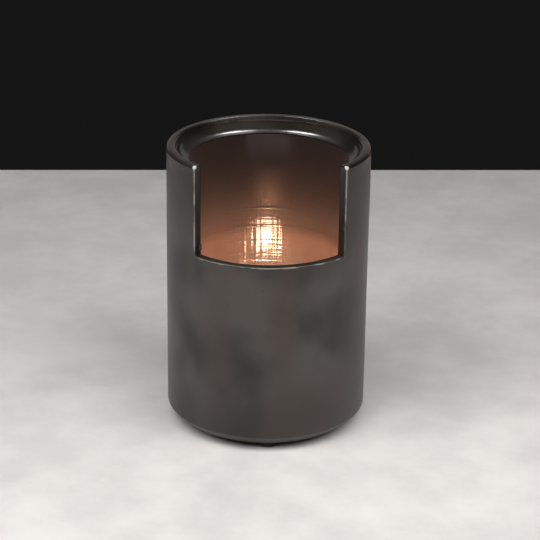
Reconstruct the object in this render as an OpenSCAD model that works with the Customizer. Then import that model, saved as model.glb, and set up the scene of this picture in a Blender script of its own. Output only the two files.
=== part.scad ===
// Tealight lantern: a dark glazed shell with a window in its front, and a copper insert that lifts out.
// The origin is the centre of the footprint on the table, +Z is up and the window faces -Y.

/* [Shell] */
// Outside diameter of the shell
shell_d = 70; // [60:1:90]
// Height from the table to the rim
total_h = 100; // [83:1:130]
// Thickness of the shell's side wall
wall = 3.3; // [2.6:0.1:4.5]
// Thickness of the shell's floor
floor_t = 4.5; // [3.5:0.1:7]
// Width of the bevel round the foot
bevel_w = 2.5; // [1:0.1:4]
// Height of the bevel round the foot
bevel_h = 2.8; // [1:0.1:4]
// Radius of the fillet inside, between floor and wall
inner_fillet = 2; // [0.5:0.1:3]
// Depth of the hollow under the floor
hollow_depth = 1.2; // [0.5:0.1:2]
// Width of the flat ring round that hollow
foot_ring_w = 12; // [11:0.5:14]

/* [Rim and window] */
// Rounding on the outside of the rim
rim_outer_round = 1.5; // [0.5:0.1:2]
// Rounding on the inside of the rim
rim_inner_round = 1.1; // [0.3:0.1:1.5]
// Part of the circle that the window takes, in degrees
window_angle = 92; // [60:1:110]
// Depth of the window below the rim
window_depth = 31.7; // [20:0.1:45]

/* [Insert] */
// Air gap between the liner and the shell
air_gap = 3.9; // [3:0.1:6]
// Thickness of the liner's copper sheet
liner_t = 0.5; // [0.4:0.1:1]
// Part of the circle that liner and collar leave open in front, in degrees
insert_opening_angle = 128; // [124:1:150]
// How far the liner's opening reaches below the window's sill
liner_sill_drop = 6; // [3:0.5:12]
// Width of the slit where the ends of the rolled sheet meet
seam_gap = 0.3; // [0.2:0.05:0.6]
// How far the collar's inner edge lies below the rim
collar_drop = 4.8; // [4:0.1:8]
// Gap between the collar and the shell, so that the insert lifts out
collar_gap = 0.3; // [0.25:0.05:0.6]
// Thickness of the collar's top edge
collar_edge = 0.4; // [0.3:0.1:0.8]
// Thickness of the collar where it covers the liner's edge
collar_lip_t = 0.4; // [0.3:0.1:0.8]
// Thickness of the collar's flange under its outer part
collar_flange_t = 1.5; // [1:0.1:2.5]
// Length of the skirt that holds the liner
skirt_h = 6; // [4:0.5:10]
// Thickness of that skirt
skirt_t = 1.1; // [0.8:0.1:1.6]

/* [Seam] */
// Width of the strip behind the seam
strip_w = 11; // [10:0.5:14]
// Thickness of the strip
strip_t = 0.4; // [0.3:0.1:0.8]
// Rivets in each of the seam's two rows
rivet_rows = 3; // [2:1:4]
// Diameter of a rivet's shank
rivet_d = 1.6; // [1.2:0.1:2]
// Diameter of a rivet's head
rivet_head_d = 2.8; // [2.4:0.1:3.2]
// Height of a rivet's head
rivet_head_h = 0.6; // [0.4:0.1:0.8]

/* [Tray] */
// Thickness of the tray's plate
tray_t = 0.8; // [0.5:0.1:1.2]
// Height of the tray's top above the shell's floor
tray_h = 8.8; // [4:0.1:14]
// Height of the ring that centres the tealight
locator_h = 1.2; // [0.8:0.1:2]
// Thickness of that ring
locator_t = 0.8; // [0.5:0.1:1]
// Gap between that ring and the tealight's cup
locator_gap = 0.7; // [0.3:0.1:0.8]

/* [Tealight] */
// Diameter of the tealight's cup
cup_d = 37.6; // [30:0.1:46]
// Height of the cup
cup_h = 15.5; // [12:0.5:20]
// Thickness of the cup's aluminium
cup_t = 0.3; // [0.2:0.05:0.4]
// Radius of the bead rolled round the cup's edge
bead_r = 0.45; // [0.3:0.05:0.6]
// Depth of the wax's edge below the cup's brim
wax_drop = 2.6; // [1.5:0.1:4]
// Depth of the melted pool's dip round the wick
pool_dip = 0.7; // [0.2:0.1:1]
// Diameter of the wick
wick_d = 1.7; // [1.2:0.1:2.2]
// Straight length of wick above the wax
wick_out = 3; // [1:0.5:6]
// Radius of the curl at the wick's tip
curl_r = 6; // [4:0.5:10]
// Angle of that curl, in degrees
curl_angle = 35; // [10:5:60]
// Diameter of the wick's tin foot
sustainer_d = 14; // [10:0.5:18]
// Height of the crimped neck on that foot
neck_h = 3.6; // [2:0.1:5]

/* [Feet] */
// Number of rubber feet
foot_count = 4; // [3:1:6]
// Diameter of a foot where it is stuck on
foot_d = 10; // [8:0.5:11]
// Height of a foot
foot_h = 2.7; // [1.5:0.1:4]
// How much narrower a foot is at the table, on its radius
foot_taper = 1.1; // [0.3:0.1:1.5]

/* [Hidden] */
$fn = 128;

over = 1;              // how far a cutter runs past what it cuts
touch = 0.02;          // gap between curved faces that bear on each other in the insert
wick_fit = 0.05;       // gap round the wick, the neck and the rivets' shanks
collar_reveal = 0.1;   // how much of the liner's edge the collar leaves bare

shell_r = shell_d / 2;
inner_r = shell_r - wall;
base_z = foot_h;                       // the shell's underside
floor_z = base_z + floor_t;            // the shell's floor, inside
sill_z = total_h - window_depth;
foot_ring_r = shell_r - bevel_w;       // outer edge of the flat under the shell
hollow_r = foot_ring_r - foot_ring_w;
foot_circle_r = foot_ring_r - foot_ring_w / 2;

liner_outer_r = inner_r - air_gap;
liner_inner_r = liner_outer_r - liner_t;
collar_outer_r = inner_r - collar_gap;
collar_hole_r = liner_inner_r + collar_reveal;
cove_r = collar_outer_r - collar_edge - collar_hole_r;
cove_z = total_h - collar_drop;        // height of the collar's inner edge
liner_top_z = cove_z - collar_lip_t;
liner_sill_z = sill_z - liner_sill_drop;
skirt_r = liner_outer_r + touch;

strip_inner_r = liner_outer_r + touch;
strip_outer_r = strip_inner_r + strip_t;
strip_margin = 3;                      // from the strip's ends to the liner's edges
strip_z = floor_z + tray_h + strip_margin;
strip_h = liner_sill_z - strip_margin - strip_z;
rivet_pitch = (strip_h - 2 * rivet_head_d) / (rivet_rows - 1);
rivet_turn = asin(strip_w / 4 / liner_outer_r);
rivet_crown_d = rivet_head_d * 0.6;    // diameter of a head's flat top

tray_z = floor_z + tray_h;             // the tray's top face
tray_r = liner_inner_r - 2 * touch;
cup_r = cup_d / 2;
cup_floor_z = tray_z + cup_t;
wax_top_z = tray_z + cup_h - wax_drop;
wax_h = wax_top_z - cup_floor_z;
locator_r = cup_r + locator_gap;
sustainer_t = 0.3;                     // gauge of the tin
wick_r = wick_d / 2;
wick_lift = 0.1;                       // gap between the wick's end and its foot
wick_z = cup_floor_z + sustainer_t + wick_lift;
neck_r = wick_r + wick_fit + sustainer_t;
curl_overlap = 0.3;                    // how far the curl starts below the straight part's end
curl_share = 0.88;                     // radius of the curl as a share of the wick's

// A pie slice round the Z axis, centred on the front, for cutting windows.
module front_wedge(angle, radius, z_low, z_high) {
    rotate([0, 0, -90 - angle / 2])
        rotate_extrude(angle = angle)
            translate([0, z_low])
                square([radius, z_high - z_low]);
}

// What is cut from a right-angled outside corner at the origin to leave it round.
module corner_tip(r) {
    difference() {
        translate([-r, -r]) square(r + over);
        translate([-r, -r]) circle(r);
    }
}

// A ring of rectangular section.
module ring(inner, outer, z, h) {
    rotate_extrude()
        translate([inner, z])
            square([outer - inner, h]);
}

module shell_section() {
    difference() {
        union() {
            polygon([
                [0, base_z + hollow_depth], [hollow_r, base_z + hollow_depth], [hollow_r, base_z],
                [foot_ring_r, base_z], [shell_r, base_z + bevel_h], [shell_r, total_h],
                [inner_r, total_h], [inner_r, floor_z], [0, floor_z]
            ]);
            translate([inner_r - inner_fillet, floor_z])
                difference() {
                    square(inner_fillet);
                    translate([0, inner_fillet]) circle(inner_fillet);
                }
        }
        translate([shell_r, total_h]) corner_tip(rim_outer_round);
        translate([inner_r, total_h]) mirror([1, 0]) corner_tip(rim_inner_round);
    }
}

module outer_shell() {
    color([0.29, 0.27, 0.255])
        difference() {
            rotate_extrude() shell_section();
            front_wedge(window_angle, shell_r + over, sill_z, total_h + over);
        }
}

module rubber_feet() {
    color([0.06, 0.06, 0.06])
        for (i = [0 : foot_count - 1])
            rotate([0, 0, -90 + i * 360 / foot_count])
                translate([foot_circle_r, 0, 0])
                    cylinder(h = foot_h, r1 = foot_d / 2 - foot_taper, r2 = foot_d / 2);
}

// The dished collar: a cove that runs from the shell's wall down to the liner's edge.
module collar_section() {
    difference() {
        union() {
            translate([collar_hole_r, liner_top_z])
                square([collar_outer_r - collar_hole_r, cove_r + collar_lip_t]);
            translate([skirt_r, cove_z - collar_flange_t])
                square([collar_outer_r - skirt_r, collar_flange_t]);
            translate([skirt_r, cove_z - skirt_h])
                square([skirt_t, skirt_h]);
        }
        translate([collar_hole_r, cove_z + cove_r]) circle(cove_r);
    }
}

module rim_collar() {
    color([0.30, 0.28, 0.265])
        difference() {
            rotate_extrude() collar_section();
            front_wedge(insert_opening_angle, shell_r, cove_z - skirt_h - over, total_h);
        }
}

// Places its children at each of the seam's rivets, with +X pointing outwards.
module at_rivets() {
    for (side = [-1, 1], row = [0 : rivet_rows - 1])
        rotate([0, 0, -90 + side * rivet_turn])
            translate([0, 0, strip_z + rivet_head_d + row * rivet_pitch])
                children();
}

module rivet_holes() {
    at_rivets()
        translate([liner_inner_r - over, 0, 0])
            rotate([0, 90, 0])
                cylinder(h = strip_outer_r - liner_inner_r + 2 * over, d = rivet_d + 2 * wick_fit);
}

module copper_liner() {
    color([0.72, 0.42, 0.30])
        difference() {
            ring(liner_inner_r, liner_outer_r, floor_z, liner_top_z - floor_z);
            front_wedge(insert_opening_angle, shell_r, liner_sill_z, total_h);
            translate([-seam_gap / 2, -shell_r, floor_z - over])
                cube([seam_gap, shell_r, liner_sill_z - floor_z + 2 * over]);
            rivet_holes();
        }
}

module seam_strip() {
    strip_angle = 2 * asin(strip_w / 2 / strip_inner_r);
    color([0.72, 0.42, 0.30])
        difference() {
            rotate([0, 0, -90 - strip_angle / 2])
                rotate_extrude(angle = strip_angle)
                    translate([strip_inner_r, strip_z])
                        square([strip_t, strip_h]);
            rivet_holes();
        }
}

module seam_rivets() {
    // the inner head's rim meets the liner's hollow side first
    head_seat = sqrt(pow(liner_inner_r, 2) - pow(rivet_head_d / 2, 2)) - touch;
    outer_seat = strip_outer_r + touch;
    color([0.78, 0.50, 0.36])
        at_rivets()
            rotate([0, 90, 0]) {
                translate([0, 0, head_seat - rivet_head_h])
                    cylinder(h = rivet_head_h, d1 = rivet_crown_d, d2 = rivet_head_d);
                translate([0, 0, head_seat - rivet_head_h / 2])
                    cylinder(h = outer_seat - head_seat + rivet_head_h, d = rivet_d);
                translate([0, 0, outer_seat])
                    cylinder(h = rivet_head_h, d1 = rivet_head_d, d2 = rivet_crown_d);
            }
}

module candle_tray() {
    color([0.70, 0.41, 0.29]) {
        ring(0, tray_r, tray_z - tray_t, tray_t);
        ring(tray_r - tray_t, tray_r, floor_z, tray_h);
        ring(locator_r, locator_r + locator_t, tray_z - tray_t / 2, locator_h + tray_t / 2);
    }
}

module tealight_cup() {
    color([0.80, 0.80, 0.82]) {
        ring(0, cup_r, tray_z, cup_t);
        ring(cup_r - cup_t, cup_r, tray_z, cup_h - bead_r);
        rotate_extrude()
            translate([cup_r - cup_t + bead_r, tray_z + cup_h - bead_r])
                circle(bead_r, $fn = 32);
    }
}

// The wick with everything that the wax is cast round, grown by a gap.
module wick_and_foot(grow) {
    translate([0, 0, cup_floor_z - over])
        cylinder(h = sustainer_t + grow + over, d = sustainer_d + 2 * grow);
    translate([0, 0, cup_floor_z])
        cylinder(h = neck_h + grow, r = neck_r + grow);
    translate([0, 0, cup_floor_z])
        cylinder(h = wax_h + over, r = wick_r + grow);
}

module tealight_wax() {
    // the dip is the cap of a sphere that reaches the edge of the wax
    wax_r = cup_r - cup_t - wick_fit;
    dip_r = (pow(wax_r, 2) + pow(pool_dip, 2)) / (2 * pool_dip);
    color([0.95, 0.93, 0.88])
        difference() {
            translate([0, 0, cup_floor_z])
                cylinder(h = wax_h, r = wax_r);
            translate([0, 0, wax_top_z - pool_dip + dip_r])
                sphere(dip_r, $fn = 256);
            wick_and_foot(wick_fit);
        }
}

module wick_sustainer() {
    color([0.75, 0.75, 0.74])
        difference() {
            union() {
                translate([0, 0, cup_floor_z])
                    cylinder(h = sustainer_t, d = sustainer_d);
                translate([0, 0, cup_floor_z])
                    cylinder(h = neck_h, r = neck_r);
            }
            translate([0, 0, wick_z - wick_fit])
                cylinder(h = neck_h, r = wick_r + wick_fit);
        }
}

// The straight part and a slightly slimmer curl, which leans back so that both sides stay alike.
module wick() {
    curl_z = wax_top_z + wick_out;
    color([0.90, 0.88, 0.80]) {
        translate([0, 0, wick_z])
            cylinder(h = curl_z - wick_z, r = wick_r);
        translate([0, curl_r, curl_z - curl_overlap])
            rotate([90, 0, 90])
                rotate([0, 0, 180 - curl_angle])
                    rotate_extrude(angle = curl_angle)
                        translate([curl_r, 0])
                            circle(wick_r * curl_share);
    }
}

outer_shell();
rubber_feet();
rim_collar();
copper_liner();
seam_strip();
seam_rivets();
candle_tray();
tealight_cup();
tealight_wax();
wick_sustainer();
wick();
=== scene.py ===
import math

import bmesh
import bpy
from mathutils import Euler, Matrix, Vector, noise


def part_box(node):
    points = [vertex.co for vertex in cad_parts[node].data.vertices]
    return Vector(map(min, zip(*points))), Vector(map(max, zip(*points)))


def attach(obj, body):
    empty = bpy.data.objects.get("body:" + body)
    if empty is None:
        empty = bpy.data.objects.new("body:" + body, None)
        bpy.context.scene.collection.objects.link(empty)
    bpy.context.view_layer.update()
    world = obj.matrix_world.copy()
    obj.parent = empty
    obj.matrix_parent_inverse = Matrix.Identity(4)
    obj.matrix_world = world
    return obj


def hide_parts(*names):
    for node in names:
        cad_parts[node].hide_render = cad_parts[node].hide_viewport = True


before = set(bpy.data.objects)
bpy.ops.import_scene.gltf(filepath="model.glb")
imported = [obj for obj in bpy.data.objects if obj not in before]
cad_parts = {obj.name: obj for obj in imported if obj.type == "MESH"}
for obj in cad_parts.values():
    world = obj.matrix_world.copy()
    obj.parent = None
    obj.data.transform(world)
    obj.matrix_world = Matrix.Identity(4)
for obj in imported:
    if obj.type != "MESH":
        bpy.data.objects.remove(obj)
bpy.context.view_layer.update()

mm = 0.001
print("frame loaded:", ", ".join(sorted(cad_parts)))


class Field:
    # wraps one socket of a node tree, so that a plain sum on it adds the Math nodes
    def __init__(self, tree, socket):
        self.tree, self.socket = tree, socket

    def math(self, operation, *values):
        step = self.tree.nodes.new("ShaderNodeMath")
        step.operation = operation
        for place, value in zip(step.inputs, values):
            plug(self.tree, place, value)
        return Field(self.tree, step.outputs[0])

    def __add__(self, other): return self.math("ADD", self, other)
    def __radd__(self, other): return self.math("ADD", other, self)
    def __sub__(self, other): return self.math("SUBTRACT", self, other)
    def __rsub__(self, other): return self.math("SUBTRACT", other, self)
    def __mul__(self, other): return self.math("MULTIPLY", self, other)
    def __rmul__(self, other): return self.math("MULTIPLY", other, self)
    def __truediv__(self, other): return self.math("DIVIDE", self, other)
    def __rtruediv__(self, other): return self.math("DIVIDE", other, self)
    def __pow__(self, other): return self.math("POWER", self, other)
    def __mod__(self, other): return self.math("FLOORED_MODULO", self, other)

    def sine(self): return self.math("SINE", self)
    def cosine(self): return self.math("COSINE", self)
    def whole(self): return self.math("FLOOR", self)
    def size(self): return self.math("ABSOLUTE", self)
    def clamped(self): return self.math("MINIMUM", self.math("MAXIMUM", self, 0.0), 1.0)


def plug(tree, place, value):
    if isinstance(value, Field):
        tree.links.new(value.socket, place)
    else:
        place.default_value = value


class Bench:
    # where one node tree is put together
    def __init__(self, tree):
        self.tree = tree

    # any node: its settings first, then the values or links of its sockets
    def node(self, kind, settings=None, sockets=None, out=0):
        made = self.tree.nodes.new(kind)
        for name, value in (settings or {}).items():
            setattr(made, name, value)
        for name, value in (sockets or {}).items():
            plug(self.tree, made.inputs[name], value)
        return Field(self.tree, made.outputs[out]) if len(made.outputs) else made

    def noise(self, where, scale, detail=2.0, roughness=0.5, distortion=0.0):
        return self.node("ShaderNodeTexNoise", {"noise_dimensions": "3D"}, {
            "Vector": where, "Scale": scale, "Detail": detail, "Roughness": roughness, "Distortion": distortion})

    # stretches a position, so that a noise on it turns into streaks
    def stretched(self, where, scale):
        return self.node("ShaderNodeMapping", {}, {"Vector": where, "Scale": scale})

    def mixed(self, factor, colourA, colourB):
        colours = {0: factor, 6: colourA, 7: colourB}
        return self.node("ShaderNodeMix", {"data_type": "RGBA"}, colours, out=2)

    # 0 below low, 1 above high, with a soft step between
    def ramp(self, value, low, high):
        return self.node("ShaderNodeMapRange", {"interpolation_type": "SMOOTHSTEP"}, {
            "Value": value, "From Min": low, "From Max": high})

    def bump(self, height, distance, strength=1.0, normal=None):
        sockets = {"Height": height, "Distance": distance, "Strength": strength}
        if normal is not None:
            sockets["Normal"] = normal
        return self.node("ShaderNodeBump", {}, sockets)


# a new material; build(bench, position) gives the Principled sockets, and may give a hazy share with its own roughness
def finish(name, build, hazeRoughness=0.5):
    material = bpy.data.materials.new(name)
    material.use_nodes = True
    tree = material.node_tree
    tree.nodes.clear()
    bench = Bench(tree)
    position = bench.node("ShaderNodeTexCoord", out=3)
    sockets = build(bench, position)
    hazeShare = sockets.pop("hazeShare", None)
    surface = bench.node("ShaderNodeBsdfPrincipled", {}, sockets)
    if hazeShare is not None:
        hazy = bench.node("ShaderNodeBsdfPrincipled", {}, {**sockets, "Roughness": hazeRoughness})
        surface = bench.node("ShaderNodeMixShader", {}, {0: hazeShare, 1: surface, 2: hazy})
    bench.node("ShaderNodeOutputMaterial", {}, {"Surface": surface})
    return material


def heightOf(bench, position):
    return bench.node("ShaderNodeSeparateXYZ", {}, {"Vector": position}, out=2)


# distance from the axis that the holder is turned round
def fromAxis(bench, position):
    flatPlace = bench.node("ShaderNodeVectorMath", {"operation": "MULTIPLY"}, {0: position, 1: (1, 1, 0)})
    return bench.node("ShaderNodeVectorMath", {"operation": "LENGTH"}, {0: flatPlace}, out=1)


# angle round the axis towards +X, from the back (facing 1) or from the front (facing -1)
def turnRound(bench, position, facing):
    x = bench.node("ShaderNodeSeparateXYZ", {}, {"Vector": position}, out=0)
    y = bench.node("ShaderNodeSeparateXYZ", {}, {"Vector": position}, out=1)
    return x.math("ARCTAN2", x, y * facing)


# sizes that the frame gives
shellLow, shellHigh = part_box("outer_shell")
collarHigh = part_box("rim_collar")[1]
linerLow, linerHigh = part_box("copper_liner")
trayLow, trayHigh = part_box("candle_tray")
cupLow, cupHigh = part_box("tealight_cup")
waxLow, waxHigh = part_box("tealight_wax")
wickLow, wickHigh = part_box("wick")
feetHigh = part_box("rubber_feet")[1]
rivetLow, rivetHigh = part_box("seam_rivets")
rimHeight = shellHigh.z
shellRadius = shellHigh.x


# a closed outline of (radius, height, rounding) corners, with the rounded ones turned into arcs
def roundedOutline(corners, arcSteps=6):
    points = []
    for place, (radius, height, rounding) in enumerate(corners):
        corner = Vector((radius, height))
        if rounding == 0:
            points.append(corner)
            continue
        back = (Vector(corners[place - 1][:2]) - corner).normalized()
        ahead = (Vector(corners[(place + 1) % len(corners)][:2]) - corner).normalized()
        half = back.angle(ahead) / 2
        centre = corner + (back + ahead).normalized() * (rounding / math.sin(half))
        fromCentre = corner + back * (rounding / math.tan(half)) - centre
        sweep = fromCentre.angle_signed(corner + ahead * (rounding / math.tan(half)) - centre)
        for step in range(arcSteps + 1):
            turn = -sweep * step / arcSteps
            points.append(centre + Matrix.Rotation(turn, 2) @ fromCentre)
    return points


# evenly spaced points along an open line of (radius, height) corners, without its last one
def evenLine(corners, longest):
    result = []
    for start, end in zip(corners, corners[1:]):
        start, end = Vector(start), Vector(end)
        parts = max(1, math.ceil((end - start).length / longest))
        result += [start.lerp(end, part / parts) for part in range(parts)]
    return result


# the same for a closed outline
def evenOutline(points, longest):
    return evenLine(points + points[:1], longest)


# a point at a radius, at an angle from the front towards +X, at a height
def around(radius, angle, height):
    return Vector((radius * math.sin(angle), -radius * math.cos(angle), height))


sharpFrom = 40      # degrees between two faces, from which their edge is shaded sharp
tiny = 1e-6         # corners closer than this, in metres, are one


def meshObject(name, shape, material):
    bmesh.ops.remove_doubles(shape, verts=shape.verts, dist=tiny)
    bmesh.ops.dissolve_degenerate(shape, edges=shape.edges, dist=tiny)
    bmesh.ops.recalc_face_normals(shape, faces=shape.faces)
    mesh = bpy.data.meshes.new(name)
    shape.to_mesh(mesh)
    shape.free()
    mesh.shade_smooth()
    mesh.set_sharp_from_angle(angle=math.radians(sharpFrom))
    mesh.materials.append(material)
    made = bpy.data.objects.new(name, mesh)
    bpy.context.scene.collection.objects.link(made)
    return made


# one point of an outline at an angle, moved first where a shift is given
def addCorner(shape, point, angle, shift):
    radius, height = shift(point, angle) if shift else point
    return shape.verts.new(around(radius, angle, height))


# turns a closed outline all the way round, or from one angle to another with closed ends
def turnedShape(outline, steps, start=0.0, end=2 * math.pi, shift=None):
    shape = bmesh.new()
    full = abs(end - start - 2 * math.pi) < tiny
    columns = []
    for step in range(steps if full else steps + 1):
        angle = start + (end - start) * step / steps
        columns.append([addCorner(shape, point, angle, shift) for point in outline])
    for left, right in zip(columns, columns[1:] + (columns[:1] if full else [])):
        for low in range(len(outline)):
            high = (low + 1) % len(outline)
            shape.faces.new((left[low], right[low], right[high], left[high]))
    if not full:
        shape.faces.new(columns[0])
        shape.faces.new(columns[-1][::-1])
    return shape


# a wall with a floor, turned round the axis, with a window cut down from its top at the front
# outer and inner run up from the sill to the top at equal heights; below runs from the outer sill round to the inner
def windowedShape(outer, inner, below, halfAngle, windowSteps, wallSteps, shift=None):
    shape = bmesh.new()
    outline = below + inner + outer[::-1]       # closed: down from outer sill, round, up inside, back down outside
    low = len(below)

    def column(angle, whole):
        missing = () if whole else range(low + 1, len(outline) - 1)
        return [None if place in missing else addCorner(shape, point, angle, shift)
                for place, point in enumerate(outline)]

    windowAngles = [-halfAngle + 2 * halfAngle * step / windowSteps for step in range(1, windowSteps)]
    wallAngles = [halfAngle + 2 * (math.pi - halfAngle) * step / wallSteps for step in range(wallSteps + 1)]
    wall = [column(angle, True) for angle in wallAngles]
    window = [wall[-1]] + [column(angle, False) for angle in windowAngles] + [wall[0]]
    last = len(outline) - 1
    for left, right in zip(wall, wall[1:]):
        for place in range(len(outline)):
            after = (place + 1) % len(outline)
            shape.faces.new((left[place], right[place], right[after], left[after]))
    for left, right in zip(window, window[1:]):
        for place in range(low):
            shape.faces.new((left[place], right[place], right[place + 1], left[place + 1]))
        shape.faces.new((left[low], right[low], right[last], left[last]))
        shape.faces.new((left[last], right[last], right[0], left[0]))
    rungs = len(inner) - 1
    for cut in (wall[0], wall[-1]):
        for rung in range(rungs):
            shape.faces.new((cut[low + rung], cut[low + rung + 1], cut[last - rung - 1], cut[last - rung]))
    return shape


def softenEdges(piece, width, segments, angle):
    bevel = piece.modifiers.new("softEdges", "BEVEL")
    bevel.width = width
    bevel.segments = segments
    bevel.limit_method = "ANGLE"
    bevel.angle_limit = math.radians(angle)
    bevel.use_clamp_overlap = True
    bevel.miter_outer = "MITER_ARC"
    bevel.harden_normals = True
    return bevel


def place(piece, body, slotName, *replaced):
    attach(piece, body)
    if replaced:
        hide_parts(*replaced)
    return piece

# how far a place is beyond the window's side, measured round the wall, and how far in from the shell's skin
def placeAtWindow(bench, position):
    beyondSide = (turnRound(bench, position, -1).size() - shellForm["windowHalfAngle"]) * shellRadius
    return beyondSide, shellRadius - fromAxis(bench, position)


# distance to the window's sharp outer edges, down both sides and along the sill, and distance to its top corners
def windowEdgeDistances(bench, position):
    beyondSide, inside = placeAtWindow(bench, position)
    height = heightOf(bench, position)
    overSill, underRim = height - sillHeight, height - rimHeight
    toSide = beyondSide.math("MAXIMUM", beyondSide.size(), 0 - overSill)
    toSill = beyondSide.math("MAXIMUM", overSill.size(), beyondSide)
    across = beyondSide.math("MINIMUM", toSide, toSill)
    fromEdge = (across * across + inside * inside) ** 0.5
    return fromEdge, (beyondSide * beyondSide + underRim * underRim + inside * inside) ** 0.5


# where the window cuts through the wall: the sides and the sill, but not the skin
def windowCut(bench, position):
    beyondSide, inside = placeAtWindow(bench, position)
    height = heightOf(bench, position)
    nearCut = beyondSide.math("MINIMUM", beyondSide.size(), (height - sillHeight).size())
    within = bench.ramp(height, sillHeight - 1 * mm, sillHeight) * bench.ramp(beyondSide, 1 * mm, 0.5 * mm)
    return bench.ramp(nearCut, 0.6 * mm, 0.2 * mm) * bench.ramp(inside, 0.5 * mm, 0.9 * mm) * within


# how many patches of each kind there are to a metre of glaze
glazeGrain = dict(clouds=36.0, drift=24.0, specks=900.0, skin=260.0, swell=55.0, edgeHighlightPatches=190.0)


# dark satin glaze with soft cloudy patches, glossy at the rim, with painted shade towards the top and the foot,
# a painted highlight along the window's sharp edges and a painted glint at its top corners;
# a ramp's two levels say where a patch of the noise begins and where it is at its fullest
def glazeFinish(name, look):
    def build(bench, position):
        height = heightOf(bench, position)
        clouds = bench.noise(position, glazeGrain["clouds"], 3.0, 0.5)
        sagging = bench.stretched(position, (1.0, 1.0, 0.5))        # patches twice as tall as wide
        drift = bench.noise(sagging, glazeGrain["drift"], 2.0, 0.5, 0.6)
        specks = bench.noise(position, glazeGrain["specks"], 2.0, 0.6)
        base = bench.mixed(bench.ramp(clouds, 0.36, 0.64), look["dark"], look["pale"])
        base = bench.mixed(bench.ramp(drift, 0.46, 0.66) * look["brownShare"], base, look["brown"])
        ragged = height + 9 * mm * (drift - 0.5)                    # so that no shade ends in a straight line
        # painted shade: the glaze is mixed towards its dark tone above the sill and towards the foot
        paintedTopShade = bench.ramp(ragged, sillHeight, sillHeight + 18 * mm) * look["paintedShadeAbove"]
        paintedFootShade = bench.ramp(ragged, 34 * mm, 8 * mm) * look["paintedShadeBelow"]
        base = bench.mixed(paintedTopShade + paintedFootShade, base, look["dark"])
        base = bench.mixed(bench.ramp(specks, 0.66, 0.74) * look["speckShare"], base, look["speck"])
        nearRim = bench.ramp(height, rimHeight - 6 * mm, rimHeight - 1 * mm)
        gloss = look["roughness"] + 0.10 * (clouds - 0.5) + 0.06 * (specks - 0.5) - look["rimGloss"] * nearRim
        if look["paintedEdgeHighlights"]:
            # painted highlight: a pale, patchy line along the window's sharp outer edges, and a near-white painted
            # glint at its top corners
            patchy = bench.ramp(bench.noise(position, glazeGrain["edgeHighlightPatches"], 2.0, 0.6), 0.36, 0.60)
            fromEdge, fromCorner = windowEdgeDistances(bench, position)
            edge = bench.ramp(fromEdge - 0.10 * mm * patchy, 0.36 * mm, 0.24 * mm) * (0.2 + 0.8 * patchy)
            corner = bench.ramp(fromCorner, 1.5 * mm, 0.8 * mm)
            base = bench.mixed(windowCut(bench, position) * look["cutShare"], base, look["speck"])
            base = bench.mixed(edge, base, look["edge"])
            base = bench.mixed(corner, base, look["corner"])
            gloss = gloss - look["edgeGloss"] * edge
        skin = bench.noise(position, glazeGrain["skin"], 2.0, 0.5)
        swell = bench.noise(position, glazeGrain["swell"], 1.0, 0.5)
        relief = skin * 0.35 + swell * 1.6 - bench.ramp(specks, 0.70, 0.78) * look["pits"]
        return {"Base Color": base, "Roughness": gloss, "Normal": bench.bump(relief, 0.10 * mm), "IOR": look["bending"]}
    return finish(name, build)


shellForm = dict(
    wall=3.3 * mm, floorThickness=4.5 * mm, bevelWidth=2.5 * mm, bevelHeight=2.8 * mm,
    footRing=12 * mm, hollow=1.2 * mm, innerFillet=2 * mm, footRounding=0.7 * mm, ringRounding=0.4 * mm,
    hollowRounding=0.3 * mm, windowHalfAngle=math.radians(46), windowDepth=31.7 * mm,
    edgeRounding=1.05 * mm, cutRounding=0.5 * mm, wobble=0.12 * mm, rimDip=0.18 * mm,
    wobbleSpread=1.1, wobbleHeight=38 * mm, dipSeed=7.3, gridStep=1.5 * mm, windowSteps=64, wallSteps=188)
sillHeight = rimHeight - shellForm["windowDepth"]

shellLook = dict(
    dark=(0.006, 0.004, 0.003, 1), pale=(0.047, 0.040, 0.034, 1),
    brown=(0.032, 0.018, 0.013, 1), speck=(0.007, 0.006, 0.005, 1),
    # edge is the colour of the painted highlight along the window's sharp edges, corner that of the painted glint at
    # its top corners
    edge=(0.17, 0.16, 0.15, 1), corner=(0.55, 0.53, 0.51, 1),
    brownShare=0.7, paintedShadeAbove=0.5, paintedShadeBelow=0.35, speckShare=0.5, cutShare=0.8,
    roughness=0.35, rimGloss=0.10, edgeGloss=0.2, pits=0.5, paintedEdgeHighlights=True, bending=1.58)
collarLook = dict(
    dark=(0.006, 0.005, 0.004, 1), pale=(0.022, 0.019, 0.016, 1),
    brown=(0.015, 0.011, 0.008, 1), speck=(0.005, 0.004, 0.004, 1),
    brownShare=0.7, paintedShadeAbove=0.0, paintedShadeBelow=0.0, speckShare=0.5,
    roughness=0.18, rimGloss=0.0, pits=0.1, paintedEdgeHighlights=False, bending=1.80)
darkGlaze = glazeFinish("darkGlaze", shellLook)
collarEnamel = glazeFinish("collarEnamel", collarLook)

# copper rubbed with fine paper, first one way and then the other, so that the lines cross like linen;
# it is duller above, and painted shade turns its colour darker and cooler above a ragged line and more so towards the
# top
copperBrush = dict(
    # the third colour is the painted shade's dark, cool tint
    colour=(0.93, 0.72, 0.63, 1), aged=(0.65, 0.49, 0.43, 1), paintedShadeColour=(0.115, 0.140, 0.175, 1),
    roughness=0.10, hazeRoughness=0.90, cleanShare=0.55, dullShare=0.92,      # shares of the hazy metal
    acrossDepth=0.14 * mm, uprightDepth=0.10 * mm, ridgeDepth=0.09 * mm,
    lineScale=1150.0, lineRun=32.0, ridgeShare=0.5, ridgeRunShare=0.6,        # lines to a metre, across and along
    shadeStepAt=58.5 * mm, shadeStepHalf=3 * mm, hazeFrom=52.5 * mm, hazeTo=90 * mm, dullFrom=57.5 * mm, dullTo=68.5 * mm,
    shadeStepShare=0.36, shadeRiseShare=0.40, calmFrom=62 * mm, calmTo=74 * mm, calmShare=0.75, smoothOutside=0.7)


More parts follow.
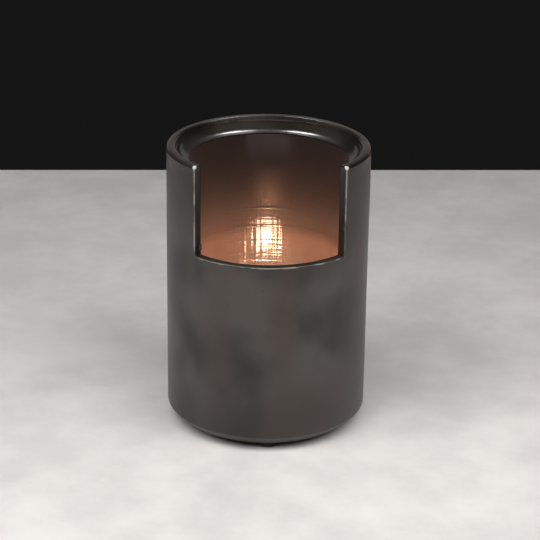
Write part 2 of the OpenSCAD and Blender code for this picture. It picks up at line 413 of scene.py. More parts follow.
def brushedCopper(bench, position):
    brush = copperBrush
    height = heightOf(bench, position)
    along = turnRound(bench, position, 1) * linerHigh.x        # runs round the sheet, from its middle at the back
    flat = bench.node("ShaderNodeCombineXYZ", {}, {"X": along, "Y": height})
    fine, run = brush["lineScale"], brush["lineRun"]
    across = bench.noise(bench.stretched(flat, (run, fine, 1)), 1.0, 1.0, 0.5)
    upright = bench.noise(bench.stretched(flat, (fine, run, 1)), 1.0, 1.0, 0.5)
    longLines = bench.stretched(flat, (run * brush["ridgeRunShare"], fine * brush["ridgeShare"], 1))
    ridges = bench.ramp(bench.noise(longLines, 1.0, 0.0, 0.5), 0.58, 0.74)
    wander = 4.0 * mm * (bench.noise(position, 60.0, 2.0, 0.5) - 0.5)
    # painted shade: above a ragged line the copper's colour is mixed towards a dark, cool tint, more so further up
    stepAt, shadeStepHalf = brush["shadeStepAt"], brush["shadeStepHalf"]
    shadeStep = bench.ramp(height + wander * 0.3, stepAt - shadeStepHalf, stepAt + shadeStepHalf)
    haze = bench.ramp(height + wander, brush["hazeFrom"], brush["hazeTo"])
    paintedShadeShare = (brush["shadeStepShare"] * shadeStep + brush["shadeRiseShare"] * haze).clamped()
    tarnish = bench.ramp(bench.noise(position, 45.0, 4.0, 0.6), 0.35, 0.75)
    colour = bench.mixed(tarnish * 0.4, brush["colour"], brush["aged"])
    colour = bench.mixed(paintedShadeShare, colour, brush["paintedShadeColour"])
    gloss = brush["roughness"] + 0.04 * (across + upright - 1.0) + 0.05 * haze
    dull = bench.ramp(height + wander, brush["dullFrom"], brush["dullTo"])
    hazeShare = brush["cleanShare"] + (brush["dullShare"] - brush["cleanShare"]) * dull
    calm = 1.0 - brush["calmShare"] * bench.ramp(height, brush["calmFrom"], brush["calmTo"])
    outside = bench.ramp(fromAxis(bench, position), linerHigh.x - 0.35 * mm, linerHigh.x - 0.15 * mm)
    calm = calm * (1.0 - brush["smoothOutside"] * outside)
    lines = bench.bump(across * calm, brush["acrossDepth"])
    lines = bench.bump(upright * calm, brush["uprightDepth"], 1.0, lines)
    lines = bench.bump(ridges * calm * calm, brush["ridgeDepth"], 1.0, lines)
    return {"Base Color": colour, "Metallic": 1.0, "Roughness": gloss, "Normal": lines, "hazeShare": hazeShare}


brushedCopperFinish = finish("brushedCopper", brushedCopper, copperBrush["hazeRoughness"])
spinMarks = dict(ringScale=1800.0, ringDepth=0.008 * mm, roughness=0.28)


# the same copper as it leaves the lathe, with rings round the axis
def spunCopper(bench, position):
    ringPlace = bench.node("ShaderNodeCombineXYZ", {}, {"X": fromAxis(bench, position) * spinMarks["ringScale"]})
    rings = bench.noise(ringPlace, 1.0, 3.0, 0.6)
    tarnish = bench.ramp(bench.noise(position, 60.0, 4.0, 0.6), 0.4, 0.7)
    colour = bench.mixed(tarnish * 0.6, copperBrush["colour"], copperBrush["aged"])
    return {"Base Color": colour, "Metallic": 1.0, "Roughness": spinMarks["roughness"] + 0.12 * rings + 0.08 * tarnish,
            "Normal": bench.bump(rings, spinMarks["ringDepth"])}


spunCopperFinish = finish("spunCopper", spunCopper)
hammerMarks = dict(scale=900.0, depth=0.05 * mm, roughness=0.22)


def rivetCopper(bench, position):
    hammered = bench.noise(position, hammerMarks["scale"], 2.0, 0.5)
    colour = bench.mixed(bench.ramp(hammered, 0.3, 0.7), copperBrush["aged"], copperBrush["colour"])
    return {"Base Color": colour, "Metallic": 1.0, "Roughness": hammerMarks["roughness"] + 0.15 * hammered,
            "Normal": bench.bump(hammered, hammerMarks["depth"])}


rivetCopperFinish = finish("rivetCopper", rivetCopper)
rubberLook = dict(black=(0.010, 0.010, 0.010, 1), dusty=(0.035, 0.034, 0.033, 1),
                  grainScale=2200.0, dustScale=300.0, grainDepth=0.03 * mm, roughness=0.62)


def blackRubber(bench, position):
    look = rubberLook
    grain = bench.noise(position, look["grainScale"], 2.0, 0.6)
    dust = bench.ramp(bench.noise(position, look["dustScale"], 3.0, 0.6), 0.5, 0.8)
    return {"Base Color": bench.mixed(dust * 0.4, look["black"], look["dusty"]),
            "Roughness": look["roughness"] + 0.2 * grain, "Normal": bench.bump(grain, look["grainDepth"])}


blackRubberFinish = finish("blackRubber", blackRubber)
foilLook = dict(dull=(0.80, 0.80, 0.82, 1), bright=(0.90, 0.90, 0.91, 1), markScale=(1500.0, 1500.0, 40.0),
                dentScale=240.0, depth=0.05 * mm, roughness=0.20)


# thin drawn foil with fine upright draw marks and a few soft dents
def cupFoil(bench, position):
    look = foilLook
    marks = bench.noise(bench.stretched(position, look["markScale"]), 1.0, 3.0, 0.6)
    dents = bench.noise(position, look["dentScale"], 1.0, 0.5)
    return {"Base Color": bench.mixed(dents, look["dull"], look["bright"]), "Metallic": 1.0,
            "Roughness": look["roughness"] + 0.18 * marks,
            "Normal": bench.bump(marks * 0.2 + dents * 2.0, look["depth"])}


cupFoilFinish = finish("cupFoil", cupFoil)
waxLook = dict(melted=(0.80, 0.76, 0.66, 1), milky=(0.90, 0.88, 0.83, 1), rippleScale=150.0, grainScale=1400.0,
               grainDepth=0.03 * mm, meltedRoughness=0.08, bending=1.44,
               glowWeight=0.7, glowRadius=(1.0, 0.75, 0.5), glowDepth=3 * mm)


# paraffin: glassy where it has melted round the wick, milky towards the edge
def candleWax(bench, position):
    look = waxLook
    ripple = bench.noise(position, look["rippleScale"], 3.0, 0.6)
    shore = fromAxis(bench, position) + 2.0 * mm * (ripple - 0.5)
    solid = bench.ramp(shore, waxRound["pool"] - 1.5 * mm, waxRound["pool"] + 1.0 * mm)
    grain = bench.noise(position, look["grainScale"], 3.0, 0.6)
    return {"Base Color": bench.mixed(solid, look["melted"], look["milky"]),
            "Roughness": look["meltedRoughness"] + 0.42 * solid + 0.06 * grain,
            "Subsurface Weight": look["glowWeight"], "Subsurface Radius": look["glowRadius"],
            "Subsurface Scale": look["glowDepth"], "IOR": look["bending"],
            "Normal": bench.bump(grain * solid, look["grainDepth"])}


tinLook = dict(dull=(0.60, 0.60, 0.59, 1), bright=(0.75, 0.75, 0.74, 1), markScale=1200.0, depth=0.01 * mm,
               roughness=0.25)


def tinnedSteel(bench, position):
    marks = bench.noise(position, tinLook["markScale"], 3.0, 0.6)
    return {"Base Color": bench.mixed(marks, tinLook["dull"], tinLook["bright"]), "Metallic": 1.0,
            "Roughness": tinLook["roughness"] + 0.2 * marks, "Normal": bench.bump(marks, tinLook["depth"])}


tinnedSteelFinish = finish("tinnedSteel", tinnedSteel)
cottonLook = dict(waxy=(0.72, 0.66, 0.52, 1), burnt=(0.012, 0.010, 0.009, 1), cold=(0.0, 0.0, 0.0, 1),
                  ember=(1.0, 0.22, 0.04, 1), emberStrength=3.0, frayScale=1600.0, frayDepth=0.10 * mm, roughness=0.85)


# cotton soaked in wax below, burnt black above, with a glow at the very tip
def burntCotton(bench, position):
    look = cottonLook
    fray = bench.noise(position, look["frayScale"], 3.0, 0.6)
    ragged = heightOf(bench, position) + 0.8 * mm * (fray - 0.5)
    burnt = bench.ramp(ragged, waxHigh.z - 0.2 * mm, waxHigh.z + 1.6 * mm)
    glow = bench.ramp(ragged, wickHigh.z - 1.0 * mm, wickHigh.z)
    return {"Base Color": bench.mixed(burnt, look["waxy"], look["burnt"]),
            "Roughness": look["roughness"] - 0.25 * burnt, "Normal": bench.bump(fray, look["frayDepth"]),
            "Emission Color": bench.mixed(glow, look["cold"], look["ember"]),
            "Emission Strength": look["emberStrength"]}


burntCottonFinish = finish("burntCotton", burntCotton)
print("finishes made")


# thrown by hand: the wall wanders a little inwards, and the rim isn't quite level
def shellWobble(point, angle):
    radius, height = point
    if radius < shellRadius - shellForm["wall"] + 0.5 * mm or height < shellLow.z + 2 * mm:
        return radius, height
    wide, tall = shellForm["wobbleSpread"], shellForm["wobbleHeight"]
    where = Vector((math.sin(angle) * wide, math.cos(angle) * wide, height / tall))
    inward = (0.5 + 0.5 * noise.noise(where)) * shellForm["wobble"]
    level = max(0.0, (height - sillHeight) / shellForm["windowDepth"])
    dipPlace = Vector((math.sin(angle), math.cos(angle), shellForm["dipSeed"]))
    dip = (0.5 + 0.5 * noise.noise(dipPlace)) * shellForm["rimDip"]
    return radius - inward, height - dip * level


# weights for the bevel, on the sharp edges from the sill upwards: full round the rim, less where the window is cut
def weighEdges(shape, above, sharperThan, cutShare):
    weight = shape.edges.layers.float.new("bevel_weight_edge")
    shape.normal_update()
    for edge in shape.edges:
        start, end = (vert.co for vert in edge.verts)
        if len(edge.link_faces) != 2 or (start.z + end.z) / 2 < above:
            continue
        if edge.calc_face_angle() < math.radians(sharperThan):
            continue
        atRim = min(start.z, end.z) > rimHeight - 1 * mm
        ringwise = atRim and abs(start.xy.length - end.xy.length) < 0.2 * mm
        edge[weight] = 1.0 if ringwise else cutShare


# drops of glaze that ran and set: one on the window's right edge, one in its left bottom corner (turn is in radians)
glazeDrops = (
    dict(side=1, turn=0.004, radius=shellRadius - 0.72 * mm, height=rimHeight - 21.4 * mm,
         size=(0.6 * mm, 0.6 * mm, 1.2 * mm)),
    dict(side=-1, turn=0.006, radius=shellRadius - shellForm["wall"] + 0.8 * mm, height=sillHeight + 2.6 * mm,
         size=(0.55 * mm, 0.6 * mm, 1.7 * mm)))


def addDrop(shape, drop):
    angle = drop["side"] * shellForm["windowHalfAngle"] + drop["turn"]
    where = Matrix.Translation(around(drop["radius"], angle, drop["height"])) @ Matrix.Rotation(angle, 4, "Z")
    stretch = Matrix.Diagonal((*drop["size"], 1.0))
    bmesh.ops.create_icosphere(shape, subdivisions=3, radius=1.0, matrix=where @ stretch)


def makeShell():
    form = shellForm
    outerRadius, innerRadius = shellRadius, shellRadius - form["wall"]
    base, floor = shellLow.z, shellLow.z + form["floorThickness"]
    ringOuter = outerRadius - form["bevelWidth"]
    ringInner = ringOuter - form["footRing"]
    rungs = math.ceil(form["windowDepth"] / form["gridStep"])
    heights = [sillHeight + form["windowDepth"] * rung / rungs for rung in range(rungs + 1)]
    outer = [Vector((outerRadius, height)) for height in heights]
    inner = [Vector((innerRadius, height)) for height in heights]
    fillet = form["innerFillet"]
    corners = [(outerRadius, base + form["bevelHeight"], form["footRounding"]), (ringOuter, base, form["footRounding"]),
               (ringInner, base, form["ringRounding"]), (ringInner, base + form["hollow"], form["hollowRounding"]),
               (0, base + form["hollow"], 0), (0, floor, 0), (innerRadius, floor, fillet), (innerRadius, sillHeight, 0)]
    rounded = roundedOutline([(outerRadius, sillHeight, 0)] + corners)
    below = evenLine(rounded, form["gridStep"])[1:]
    shape = windowedShape(outer, inner, below, form["windowHalfAngle"],
                          form["windowSteps"], form["wallSteps"], shellWobble)
    bmesh.ops.remove_doubles(shape, verts=shape.verts, dist=tiny)
    bmesh.ops.recalc_face_normals(shape, faces=shape.faces)
    weighEdges(shape, sillHeight - 0.3 * mm, sharpFrom, form["cutRounding"] / form["edgeRounding"])
    for drop in glazeDrops:
        addDrop(shape, drop)
    piece = meshObject("glazed_shell", shape, darkGlaze)
    bevel = softenEdges(piece, form["edgeRounding"], 5, 30)
    bevel.limit_method = "WEIGHT"
    return place(piece, "shell", "dark_glaze", "outer_shell")


makeShell()
print("shell turned, window cut")


# what repeats is laid out by a Geometry Nodes group with named inputs;
# layOut(bench, geometry, inputs) gives the geometry to finish
def layoutGroup(name, sizes, layOut):
    tree = bpy.data.node_groups.new(name, "GeometryNodeTree")
    tree.interface.new_socket("Geometry", in_out="INPUT", socket_type="NodeSocketGeometry")
    kinds = {int: "NodeSocketInt", float: "NodeSocketFloat"}
    for label, value in sizes.items():
        made = tree.interface.new_socket(label, in_out="INPUT", socket_type=kinds[type(value)])
        made.default_value = value
    tree.interface.new_socket("Material", in_out="INPUT", socket_type="NodeSocketMaterial")
    tree.interface.new_socket("Geometry", in_out="OUTPUT", socket_type="NodeSocketGeometry")
    entry, leave = tree.nodes.new("NodeGroupInput"), tree.nodes.new("NodeGroupOutput")
    bench = Bench(tree)
    inputs = {label: Field(tree, entry.outputs[label]) for label in sizes}
    laidOut = layOut(bench, Field(tree, entry.outputs["Geometry"]), inputs)
    real = bench.node("GeometryNodeRealizeInstances", {}, {"Geometry": laidOut})
    coated = bench.node("GeometryNodeSetMaterial", {}, {
        "Geometry": real, "Material": Field(tree, entry.outputs["Material"])})
    plug(tree, leave.inputs[0], coated)
    return tree


# runs the group on a piece and keeps the result as a plain mesh
def laidOutPiece(piece, tree, sizes, material):
    modifier = piece.modifiers.new("layout", "NODES")
    modifier.node_group = tree
    for item in tree.interface.items_tree:
        if item.in_out == "INPUT" and item.name in sizes:
            modifier[item.identifier] = sizes[item.name]
        if item.in_out == "INPUT" and item.name == "Material":
            modifier[item.identifier] = material
    graph = bpy.context.evaluated_depsgraph_get()
    finished = piece.evaluated_get(graph)
    mesh = bpy.data.meshes.new_from_object(finished, preserve_all_data_layers=True, depsgraph=graph)
    piece.modifiers.remove(modifier)
    old, piece.data = piece.data, mesh
    bpy.data.meshes.remove(old)
    mesh.shade_smooth()
    return piece


footForm = dict(radius=5 * mm, taper=1.1 * mm, rounding=0.7 * mm, topRounding=0.15 * mm, fromAxis=26.5 * mm, count=4,
                gridStep=1.2 * mm, steps=48)


def layFeet(bench, foot, inputs):
    ring = bench.node("GeometryNodeMeshCircle", {}, {"Vertices": inputs["Count"], "Radius": inputs["From axis"]})
    return bench.node("GeometryNodeInstanceOnPoints", {}, {"Points": ring, "Instance": foot})


def makeFeet():
    form = footForm
    top = feetHigh.z
    outline = roundedOutline([(0, 0, 0), (form["radius"] - form["taper"], 0, form["rounding"]),
                              (form["radius"], top, form["topRounding"]), (0, top, 0)])
    shape = turnedShape(evenOutline(outline, form["gridStep"]), form["steps"])
    foot = meshObject("foot_bumpers", shape, blackRubberFinish)
    sizes = {"Count": form["count"], "From axis": form["fromAxis"]}
    piece = laidOutPiece(foot, layoutGroup("feetLayout", sizes, layFeet), sizes, blackRubberFinish)
    return place(piece, "shell", "black_rubber", "rubber_feet")


makeFeet()
print("feet stuck on")


# coveStart is the cove's slope where it begins, at its inner edge
collarForm = dict(
    hole=27.4 * mm, edge=0.25 * mm, lip=0.4 * mm, flange=1.5 * mm, skirt=6 * mm, skirtWall=1.1 * mm, skirtGap=0.02 * mm,
    openHalfAngle=math.radians(64), rounding=0.15 * mm, flangeRounding=0.3 * mm, topRounding=0.1 * mm, gap=0.08 * mm,
    coveInset=0.4 * mm, coveSteps=24, coveStart=math.radians(14), arcSteps=4, gridStep=1.4 * mm, steps=200)


def makeCollar():
    form = collarForm
    outer, top = shellRadius - shellForm["wall"] - form["gap"], collarHigh.z
    hole, small = form["hole"], form["rounding"]
    coveWidth, coveDepth = outer - form["edge"] - hole, collarHigh.x - form["coveInset"] - hole
    coveHeight = top - coveDepth
    skirtRadius = linerHigh.x + form["skirtGap"]
    skirtFoot = coveHeight - form["skirt"]
    corners = [(hole, coveHeight - form["lip"], small), (skirtRadius, coveHeight - form["lip"], 0),
               (skirtRadius, skirtFoot, small), (skirtRadius + form["skirtWall"], skirtFoot, small),
               (skirtRadius + form["skirtWall"], coveHeight - form["flange"], form["flangeRounding"]),
               (outer, coveHeight - form["flange"], small), (outer, top, form["topRounding"]),
               (outer - form["edge"], top, form["topRounding"])]
    outline = roundedOutline(corners, form["arcSteps"])
    flattest, coveSteps = form["coveStart"], form["coveSteps"]
    turns = [math.pi / 2 - (math.pi / 2 - flattest) * step / coveSteps for step in range(1, coveSteps)]
    arc = [Vector((hole + coveWidth * (math.sin(turn) - math.sin(flattest)) / (1 - math.sin(flattest)),
                   top - coveDepth * math.cos(turn) / math.cos(flattest))) for turn in turns]
    lip = roundedOutline([(hole + 1 * mm, coveHeight, 0), (hole, coveHeight, small),
                          (hole, coveHeight - form["lip"], 0)], form["arcSteps"])[1:-1]
    outline = evenOutline(outline + arc + lip, form["gridStep"])
    start, end = form["openHalfAngle"], 2 * math.pi - form["openHalfAngle"]
    shape = turnedShape(outline, form["steps"], start, end)
    piece = meshObject("dished_collar", shape, collarEnamel)
    return place(piece, "insert", "collar_enamel", "rim_collar")


makeCollar()

linerForm = dict(sheet=0.5 * mm, sillDrop=6 * mm, openHalfAngle=math.radians(64), buckle=0.10 * mm, buckleSpread=1.6,
                 buckleHeight=24 * mm, edgeRounding=0.12 * mm, gridStep=1.6 * mm, windowSteps=90, wallSteps=164)


# rolled by hand: the sheet buckles slightly inwards in wide, flat waves
def linerBuckle(point, angle):
    radius, height = point
    wide = linerForm["buckleSpread"]
    where = Vector((math.sin(angle) * wide, math.cos(angle) * wide, height / linerForm["buckleHeight"]))
    return radius - (0.5 + 0.5 * noise.noise(where)) * linerForm["buckle"], height


def makeLiner():
    form = linerForm
    outerRadius, innerRadius = linerHigh.x, linerHigh.x - form["sheet"]
    sill, top, foot = sillHeight - form["sillDrop"], linerHigh.z, linerLow.z
    rungs = math.ceil((top - sill) / form["gridStep"])
    heights = [sill + (top - sill) * rung / rungs for rung in range(rungs + 1)]
    below = evenLine([(outerRadius, sill), (outerRadius, foot), (innerRadius, foot), (innerRadius, sill)],
                     form["gridStep"])[1:]
    shape = windowedShape([Vector((outerRadius, height)) for height in heights],
                          [Vector((innerRadius, height)) for height in heights],
                          below, form["openHalfAngle"], form["windowSteps"], form["wallSteps"], linerBuckle)
    piece = meshObject("copper_sheet", shape, brushedCopperFinish)
    softenEdges(piece, form["edgeRounding"], 2, sharpFrom)
    return place(piece, "insert", "brushed_copper", "copper_liner")


makeLiner()
print("liner rolled, collar set on it")

# the crown is the head's flat top, and the shoulder is where the head begins to lean in
rivetForm = dict(shank=0.8 * mm, head=1.4 * mm, headHeight=0.6 * mm, crownShare=0.55, shoulderShare=0.35,
                 crownRounding=0.35 * mm, shoulderRounding=0.2 * mm, footRounding=0.05 * mm, seatGap=0.06 * mm,
                 perRow=3, rowTurn=math.radians(5.68), steps=32)


def layRivets(bench, rivet, inputs):
    rows = bench.node("GeometryNodeMeshLine", {}, {"Count": inputs["Rows"] * 2})
    index = bench.node("GeometryNodeInputIndex")
    side = (index % 2.0) * 2.0 - 1.0
    row = (index / 2.0).whole()
    height = inputs["Lowest"] + row * inputs["Pitch"]
    spot = bench.node("ShaderNodeCombineXYZ", {}, {"Z": height})
    turn = bench.node("ShaderNodeCombineXYZ", {}, {"Y": math.pi / 2, "Z": side * inputs["Turn"] - math.pi / 2})
    points = bench.node("GeometryNodeSetPosition", {}, {"Geometry": rows, "Position": spot})
    return bench.node("GeometryNodeInstanceOnPoints", {}, {"Points": points, "Instance": rivet, "Rotation": turn})


def makeRivets():
    form = rivetForm
    innerSeat = linerHigh.x - linerForm["sheet"] - form["seatGap"]
    outerSeat = abs(rivetLow.y) - form["headHeight"]
    shank, head, rise = form["shank"], form["head"], form["headHeight"]
    crown, shoulder = head * form["crownShare"], rise * form["shoulderShare"]
    atCrown, atShoulder, atFoot = form["crownRounding"], form["shoulderRounding"], form["footRounding"]
    corners = [(0, innerSeat - rise, 0), (crown, innerSeat - rise, atCrown), (head, innerSeat - shoulder, atShoulder),
               (head, innerSeat, atFoot), (shank, innerSeat, 0), (shank, outerSeat, 0), (head, outerSeat, atFoot),
               (head, outerSeat + shoulder, atShoulder), (crown, outerSeat + rise, atCrown), (0, outerSeat + rise, 0)]
    shape = turnedShape(roundedOutline(corners, 4), form["steps"])
    rivet = meshObject("rivet_heads", shape, rivetCopperFinish)
    lowest, highest = rivetLow.z + head, rivetHigh.z - head
    sizes = {"Rows": form["perRow"], "Lowest": lowest, "Pitch": (highest - lowest) / (form["perRow"] - 1),
             "Turn": form["rowTurn"]}
    piece = laidOutPiece(rivet, layoutGroup("rivetLayout", sizes, layRivets), sizes, rivetCopperFinish)
    return place(piece, "insert", "rivet_copper", "seam_rivets")


makeRivets()

trayForm = dict(plate=0.8 * mm, ringInner=19.5 * mm, ringWall=0.8 * mm, ringHeight=1.2 * mm, rounding=0.3 * mm,
                edgeRounding=0.7 * mm, footRounding=0.2 * mm, gridStep=1.6 * mm, steps=180)


def makeTray():
    form = trayForm
    edge, foot = trayHigh.x, trayLow.z
    ringTop = trayHigh.z
    top = ringTop - form["ringHeight"]
    inner, outer, plate = form["ringInner"], form["ringInner"] + form["ringWall"], form["plate"]
    soft, softFoot = form["rounding"], form["footRounding"]
    corners = [(0, top, 0), (inner, top, soft), (inner, ringTop, soft), (outer, ringTop, soft), (outer, top, soft),
               (edge, top, form["edgeRounding"]), (edge, foot, softFoot), (edge - plate, foot, softFoot),
               (edge - plate, top - plate, soft), (0, top - plate, 0)]
    shape = turnedShape(evenOutline(roundedOutline(corners, 5), form["gridStep"]), form["steps"])
    piece = meshObject("spun_tray", shape, spunCopperFinish)
    return place(piece, "insert", "plain_copper", "candle_tray")


makeTray()
for node, material in (("seam_strip", spunCopperFinish), ("wick_sustainer", tinnedSteelFinish)):
    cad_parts[node].data.materials.clear()
    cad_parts[node].data.materials.append(material)
print("tray and seam done")


cupForm = dict(sheet=0.3 * mm, bead=0.45 * mm, flutes=72, fluteDepth=0.10 * mm, fluteFrom=1.5 * mm, fluteTo=2.0 * mm,
               footRounding=1.3 * mm, gridStep=0.9 * mm, steps=288)


def fluteWall(point, angle):
    radius, height = point
    low, high = cupLow.z + cupForm["fluteFrom"], cupHigh.z - cupForm["fluteTo"]
    if radius < cupHigh.x - 1.2 * mm or not low < height < high:
        return radius, height
    fade = min(1.0, (height - low) / mm, (high - height) / mm)
    return radius - cupForm["fluteDepth"] * fade * (0.5 + 0.5 * math.sin(cupForm["flutes"] * angle)), height


def makeCup():
    form = cupForm
    bead = form["bead"]
    outer = cupHigh.x - 2 * bead + form["sheet"]
    inner = outer - form["sheet"]
    beadCentre = Vector((cupHigh.x - bead, cupHigh.z - bead))
    rolled = [beadCentre + Vector((bead * math.cos(turn), bead * math.sin(turn)))
              for turn in [math.radians(degree) for degree in range(-130, 171, 20)]]     # rolled outwards and in again
    floor, soft = cupLow.z + form["sheet"], form["footRounding"]
    wall = roundedOutline([(0, cupLow.z, 0), (outer, cupLow.z, soft), (outer, cupHigh.z - 1.1 * mm, 0)])
    lining = roundedOutline([(inner, cupHigh.z - 1.0 * mm, 0), (inner, floor, soft - form["sheet"]), (0, floor, 0)])
    shape = turnedShape(evenOutline(wall + rolled + lining, form["gridStep"]), form["steps"], shift=fluteWall)
    piece = meshObject("fluted_cup", shape, cupFoilFinish)
    return place(piece, "tealight", "cup_aluminium", "tealight_cup")


makeCup()

waxRound = dict(pool=12.5 * mm, poolDrop=0.62 * mm, creep=0.35 * mm, edgeGap=0.25 * mm, core=1.3 * mm,
                shoreWander=0.9 * mm, shoreSpread=1.4, shoreSeed=2.1, shoreWidth=5 * mm, gridStep=0.9 * mm, steps=160)


# the melted pool isn't quite round
def poolShore(point, angle):
    radius, height = point
    if radius < waxRound["core"] + 0.5 * mm or height < waxHigh.z - 1.5 * mm:
        return radius, height
    wide = waxRound["shoreSpread"]
    where = Vector((math.sin(angle) * wide, math.cos(angle) * wide, waxRound["shoreSeed"]))
    shore = noise.noise(where) * waxRound["shoreWander"]
    share = max(0.0, 1 - abs(radius - waxRound["pool"]) / waxRound["shoreWidth"])
    return radius + shore * share, height


def makeWax():
    form = waxRound
    edge, top, foot = waxHigh.x - form["edgeGap"], waxHigh.z, waxLow.z
    pool = top - form["poolDrop"]
    core = form["core"]
    corners = [(core, foot, 0.1 * mm), (edge, foot, 1.0 * mm), (edge, top - 0.05 * mm, 0.15 * mm),
               (edge - 0.8 * mm, top - 0.25 * mm, 0.8 * mm), (form["pool"] + 2 * mm, top - 0.2 * mm, 2 * mm),
               (form["pool"], pool, 1.6 * mm), (core + 1.1 * mm, pool, 0.8 * mm),
               (core, pool + form["creep"], 0.1 * mm)]         # up the edge, down into the pool and up the wick
    outline = evenOutline(roundedOutline(corners, 6), form["gridStep"])
    shape = turnedShape(outline, form["steps"], shift=poolShore)
    piece = meshObject("paraffin", shape, finish("candleWax", candleWax))
    return place(piece, "tealight", "candle_wax", "tealight_wax")


makeWax()

# the strands' thickness and their distance from the middle are shares of the wick's radius
wickForm = dict(strands=3, strandShare=0.56, offsetShare=0.42, twistPerMm=1.15, curl=6 * mm, curlAngle=math.radians(35),
                straightAbove=2.7 * mm, pathStep=0.25 * mm, tubeSides=10)


# each strand of the braid winds round the wick's own path
def layBraid(bench, path, inputs):
    line = bench.node("GeometryNodeMeshToCurve", {}, {"Mesh": path})
    ring = bench.node("GeometryNodeCurvePrimitiveCircle", {}, {
        "Resolution": wickForm["tubeSides"], "Radius": inputs["Strand radius"]})
    rise = bench.node("ShaderNodeSeparateXYZ", {}, {"Vector": bench.node("GeometryNodeInputPosition")}, out=2)
    joined = bench.tree.nodes.new("GeometryNodeJoinGeometry")
    for strand in range(wickForm["strands"]):
        phase = rise * inputs["Twist"] + 2 * math.pi * strand / wickForm["strands"]
        sideways = bench.node("ShaderNodeCombineXYZ", {}, {
            "X": phase.cosine() * inputs["Offset"], "Y": phase.sine() * inputs["Offset"]})
        moved = bench.node("GeometryNodeSetPosition", {}, {"Geometry": line, "Offset": sideways})
        tube = bench.node("GeometryNodeCurveToMesh", {}, {"Curve": moved, "Profile Curve": ring, "Fill Caps": True})
        bench.tree.links.new(tube.socket, joined.inputs[0])
    return Field(bench.tree, joined.outputs[0])


def makeWick():
    form = wickForm
    wickRadius = wickHigh.x
    bendHeight = waxHigh.z + form["straightAbove"]
    straight = int((bendHeight - wickLow.z) / form["pathStep"])
    path = [Vector((0, 0, wickLow.z + (bendHeight - wickLow.z) * step / straight)) for step in range(straight)]
    curlSteps = int(form["curl"] * form["curlAngle"] / form["pathStep"])
    for step in range(curlSteps + 1):
        turn = form["curlAngle"] * step / curlSteps
        path.append(Vector((0, form["curl"] * (1 - math.cos(turn)), bendHeight + form["curl"] * math.sin(turn))))
    mesh = bpy.data.meshes.new("braided_wick")
    mesh.from_pydata(path, [(step, step + 1) for step in range(len(path) - 1)], [])
    piece = bpy.data.objects.new("braided_wick", mesh)
    bpy.context.scene.collection.objects.link(piece)
    sizes = {"Strand radius": wickRadius * form["strandShare"], "Offset": wickRadius * form["offsetShare"],
             "Twist": form["twistPerMm"] / mm}
    laidOutPiece(piece, layoutGroup("wickBraid", sizes, layBraid), sizes, burntCottonFinish)
    return place(piece, "tealight", "wick_cotton", "wick")


makeWick()
print("tealight filled")


# the lit flame, which is no part of the object: only its bright middle throws much light
flameForm = dict(
    foot=wickHigh.z - 1.0 * mm, tip=51.5 * mm, radius=2.5 * mm, blueTo=3 * mm, brightFrom=41.5 * mm, brightTo=44.5 * mm,
    fade=4 * mm, blue=(0.10, 0.16, 0.9, 1), colour=(1.0, 0.72, 0.48, 1), strength=34.0, faint=0.03,
    swellPower=0.55, taperPower=0.95, rings=32, steps=40)


def flameGlow(bench, position):
    form = flameForm
    height = heightOf(bench, position)
    colour = bench.mixed(bench.ramp(height, form["foot"], form["foot"] + form["blueTo"]), form["blue"], form["colour"])
    rise = bench.ramp(height, form["brightFrom"], form["brightTo"])
    fade = bench.ramp(height, form["tip"], form["tip"] - form["fade"])
    bright = bench.mixed(rise * fade * (1 - form["faint"]) + form["faint"], (0, 0, 0, 1), colour)
    return {"Base Color": (0, 0, 0, 1), "Roughness": 1.0, "Specular IOR Level": 0.0,
            "Emission Color": bright, "Emission Strength": form["strength"]}


# the flame's width at a share of its height: it swells quickly and tapers to a point
def flameSwell(share):
    return share ** flameForm["swellPower"] * (1 - share) ** flameForm["taperPower"]


def makeFlame():
    form = flameForm
    length = form["tip"] - form["foot"]
    widest = flameSwell(form["swellPower"] / (form["swellPower"] + form["taperPower"]))
    shares = [ring / form["rings"] for ring in range(form["rings"] + 1)]
    outline = [Vector((form["radius"] * flameSwell(share) / widest, form["foot"] + length * share)) for share in shares]
    flame = meshObject("flame", turnedShape(outline, form["steps"]), finish("flameGlow", flameGlow))
    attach(flame, "tealight")


makeFlame()

# backSlant turns the table's far edge a little, in metres back for each metre across
tableForm = dict(halfWidth=1.6, front=3.0, back=0.263, backSlant=0.01, thickness=0.02)
tableLook = dict(dark=(0.57, 0.555, 0.545, 1), pale=(0.70, 0.685, 0.67, 1), cloudScale=9.0, stainScale=34.0,
                 grainScale=700.0, stainShare=0.55, roughness=0.62, relief=0.3 * mm)


def paleConcrete(bench, position):
    look = tableLook
    clouds = bench.noise(position, look["cloudScale"], 5.0, 0.6)
    stains = bench.noise(position, look["stainScale"], 6.0, 0.65)
    grains = bench.noise(position, look["grainScale"], 3.0, 0.6)
    patches = bench.ramp(clouds * (1 - look["stainShare"]) + stains * look["stainShare"], 0.36, 0.66)
    return {"Base Color": bench.mixed(patches, look["dark"], look["pale"]),
            "Roughness": look["roughness"] + 0.1 * grains, "Normal": bench.bump(stains + grains * 0.2, look["relief"])}


def makeTable():
    form = tableForm
    shape = bmesh.new()
    bmesh.ops.create_cube(shape, size=1.0)
    for vert in shape.verts:
        vert.co.x *= 2 * form["halfWidth"]
        vert.co.y = -form["front"] if vert.co.y < 0 else form["back"] + vert.co.x * form["backSlant"]
        vert.co.z = -form["thickness"] if vert.co.z < 0 else 0.0
    table = meshObject("table", shape, finish("paleConcrete", paleConcrete))
    for polygon in table.data.polygons:
        polygon.use_smooth = False


makeTable()

# distances in shell radii, angles in degrees; the lamps swing round the object with the camera
cameraForm = dict(back=17.6457, aboveRim=5.798, pitch=21.98, roll=0.756, swing=-1.7, lens=127.1, sensor=36.0,
                  shift=0.0052, nearest=0.01, furthest=20)
cameraSwing = Matrix.Rotation(math.radians(cameraForm["swing"]), 3, "Z")

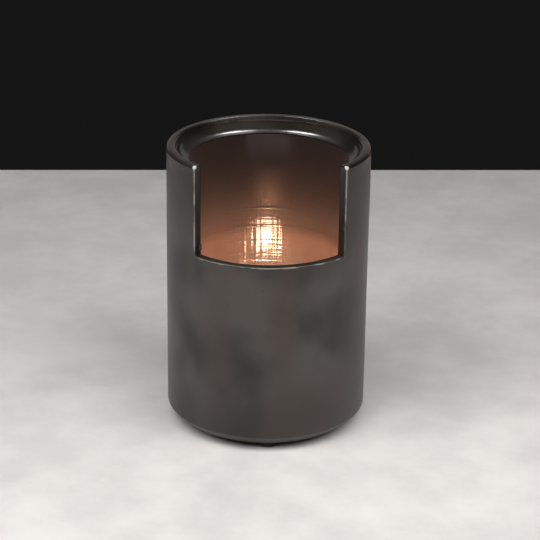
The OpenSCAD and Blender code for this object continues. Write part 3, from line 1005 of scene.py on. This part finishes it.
# the shine lamps are seen only in reflections, and the soft keys only light what they fall on
shineWhite, rearWhite, keyWhite = (1.0, 0.98, 0.96), (1.0, 0.98, 0.94), (1.0, 0.985, 0.97)
lamps = dict(
    shineLeft=dict(at=(-0.165, 0.53, 0.92), size=(0.17, 0.14), power=1.5, colour=shineWhite, shine=True),
    shineRight=dict(at=(0.175, 0.53, 0.92), size=(0.17, 0.14), power=1.5, colour=shineWhite, shine=True),
    shineRear=dict(at=(0.0, 1.3, 0.28), size=(2.0, 0.55), power=0.85, colour=rearWhite, shine=True),
    keyLeft=dict(at=(-0.24, -0.20, 0.36), size=(0.36, 0.36), power=1.55, colour=keyWhite, shine=False),
    keyRight=dict(at=(0.24, -0.20, 0.36), size=(0.36, 0.36), power=1.45, colour=keyWhite, shine=False),
    keyAbove=dict(at=(0.0, -0.42, 0.80), size=(0.7, 0.5), power=2.8, colour=keyWhite, shine=False))
roomColour = (0.0075, 0.0075, 0.0080, 1)        # nearly dark, so that the backdrop reads as a plain dark wall


def makeLamp(name, form):
    light = bpy.data.lights.new(name, "AREA")
    light.shape = "ELLIPSE"
    light.size, light.size_y = form["size"]
    light.energy = form["power"]
    light.color = form["colour"]
    lamp = bpy.data.objects.new(name, light)
    lamp.location = cameraSwing @ Vector(form["at"])
    toObject = Vector((0, 0, rimHeight / 2)) - lamp.location
    lamp.rotation_euler = toObject.to_track_quat("-Z", "Y").to_euler()
    lamp.visible_camera = False
    lamp.visible_glossy = form["shine"]
    lamp.visible_diffuse = not form["shine"]
    bpy.context.scene.collection.objects.link(lamp)


for lampName, lampForm in lamps.items():
    makeLamp(lampName, lampForm)

world = bpy.data.worlds.new("darkRoom")
world.use_nodes = True
world.node_tree.nodes["Background"].inputs["Color"].default_value = roomColour
bpy.context.scene.world = world
bpy.context.scene.view_settings.view_transform = "Standard"


def makeCamera():
    form = cameraForm
    data = bpy.data.cameras.new("camera")
    data.sensor_width = form["sensor"]
    data.lens = form["lens"]
    data.shift_x = form["shift"]
    data.clip_start, data.clip_end = form["nearest"], form["furthest"]
    camera = bpy.data.objects.new("camera", data)
    back, above = form["back"] * shellRadius, form["aboveRim"] * shellRadius
    camera.location = cameraSwing @ Vector((0, -back, rimHeight + above))
    tilt = Euler((math.radians(90 - form["pitch"]), 0, 0)).to_matrix()
    roll = Matrix.Rotation(math.radians(form["roll"]), 3, "Z")
    camera.rotation_euler = (cameraSwing @ tilt @ roll).to_euler()
    bpy.context.scene.collection.objects.link(camera)
    bpy.context.scene.camera = camera


makeCamera()
print("table, lamps and camera set")
